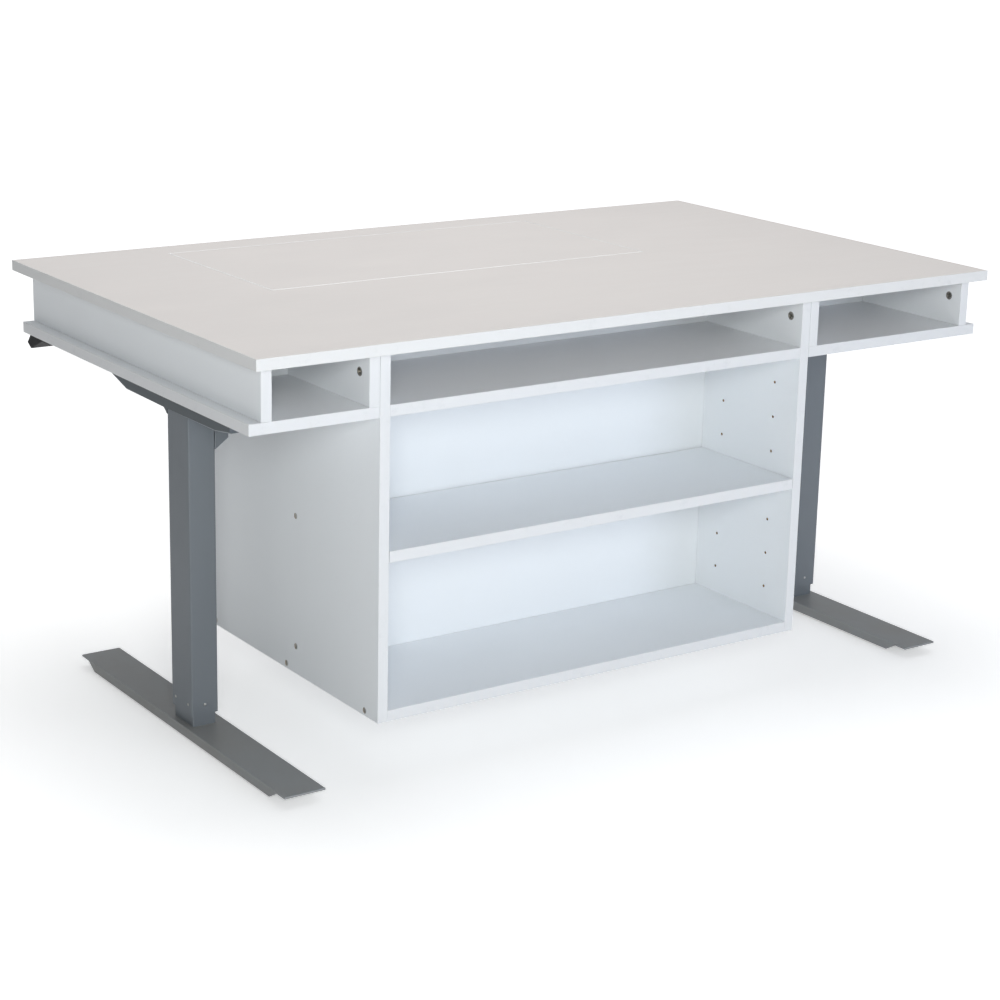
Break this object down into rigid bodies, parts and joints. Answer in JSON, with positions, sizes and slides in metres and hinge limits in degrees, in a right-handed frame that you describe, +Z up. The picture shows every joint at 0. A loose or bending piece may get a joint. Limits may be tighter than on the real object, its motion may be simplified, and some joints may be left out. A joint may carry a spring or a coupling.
{
  "type": "sewing table",
  "caption": "Height-adjustable sewing table: box top with a lift-out insert over a machine well, an open storage cabinet and two telescoping steel legs.",
  "frame": {"origin": "on the floor, midway along the table and midway between the front and rear edges of the top", "axes": "+X along the table to the right as seen from the shelf side, +Y from the shelf side (front) to the sitter's side (rear), +Z up"},
  "size_m": [1.524, 0.914, 0.74],
  "materials": {
    "white_melamine": "white melamine board with edge banding",
    "top_melamine": "warm light grey-white laminate, satin",
    "foot_paint": "grey powder coat, semi-gloss",
    "leg_paint": "grey powder coat, satin",
    "zinc_steel": "zinc plated",
    "nylon": "natural nylon",
    "black_plastic": "fine moulded texture",
    "button_plastic": "satin",
    "beech_dowel": "bare beech",
    "motor_black": "black paint",
    "board_green": "solder mask",
    "screw_steel": "bright rolled steel"
  },
  "bodies": {
    "base": {"left_foot": "foot_paint", "right_foot": "foot_paint", "levelling_glides": "black_plastic", "glide_nuts": "zinc_steel", "column_bolts": "zinc_steel", "left_inner_column": "leg_paint", "right_inner_column": "leg_paint", "left_drive_nut": "nylon", "right_drive_nut": "nylon", "inner_glide_pads": "nylon"},
    "table": {"top_panel": "top_melamine", "insert_cleats": "white_melamine", "left_wing_bottom": "white_melamine", "right_wing_bottom": "white_melamine", "well_floor": "white_melamine", "left_outer_side": "white_melamine", "right_outer_side": "white_melamine", "left_divider": "white_melamine", "right_divider": "white_melamine", "left_cubby_back": "white_melamine", "right_cubby_back": "white_melamine", "rear_rail": "white_melamine", "cabinet_left_side": "white_melamine", "cabinet_right_side": "white_melamine", "cabinet_bottom": "white_melamine", "upper_shelf": "white_melamine", "cabinet_back": "white_melamine", "upper_compartment_back": "white_melamine", "shelf_pins": "zinc_steel", "cam_locks": "zinc_steel", "cam_bolts": "zinc_steel", "connecting_screws": "zinc_steel", "floor_dowels": "beech_dowel", "left_outer_column": "leg_paint", "right_outer_column": "leg_paint", "outer_glide_pads": "nylon", "pad_rivets": "leg_paint", "left_arm": "leg_paint", "right_arm": "leg_paint", "left_head_plate": "zinc_steel", "right_head_plate": "zinc_steel", "left_head_cover": "leg_paint", "right_head_cover": "leg_paint", "left_bearing": "zinc_steel", "right_bearing": "zinc_steel", "left_gear_motor": "motor_black", "right_gear_motor": "motor_black", "arm_screws": "zinc_steel", "control_box": "black_plastic", "control_board": "board_green", "mains_inlet": "black_plastic", "handset_case": "black_plastic", "handset_screws": "zinc_steel"},
    "insert": {"insert_panel": "top_melamine"},
    "shelf": {"adjustable_shelf": "white_melamine"},
    "up_button": {"up_button": "button_plastic"},
    "down_button": {"down_button": "button_plastic"},
    "left_screw": {"left_lead_screw": "screw_steel"},
    "right_screw": {"right_lead_screw": "screw_steel"}
  },
  "joints": [
    {"name": "lift", "type": "slide", "parent": "base", "child": "table", "axis": [0, 0, 1], "range_m": [0, 0.367]},
    {"name": "insert_lift", "type": "slide", "parent": "table", "child": "insert", "axis": [0, 0, 1], "range_m": [0, 0.15]},
    {"name": "shelf_pull", "type": "slide", "parent": "table", "child": "shelf", "axis": [0, -1, 0], "range_m": [0, 0.26]},
    {"name": "up_button_press", "type": "slide", "parent": "table", "child": "up_button", "axis": [0, -0.7507, -0.6606], "range_m": [0, 0.0012], "stiffness_N_per_m": 800},
    {"name": "down_button_press", "type": "slide", "parent": "table", "child": "down_button", "axis": [0, -0.7507, -0.6606], "range_m": [0, 0.0012], "stiffness_N_per_m": 800},
    {"name": "left_screw_turn", "type": "hinge", "parent": "table", "child": "left_screw", "pos_m": [-0.6755, -0.07, 0.55], "axis": [0, 0, 1], "range_deg": [0, 16520]},
    {"name": "right_screw_turn", "type": "hinge", "parent": "table", "child": "right_screw", "pos_m": [0.6755, -0.07, 0.55], "axis": [0, 0, 1], "range_deg": [0, 16520]}
  ],
  "couplings": [
    {"joint": "left_screw_turn", "follows": "lift", "rad_per_m": 785.4},
    {"joint": "right_screw_turn", "follows": "lift", "rad_per_m": 785.4}
  ]
}
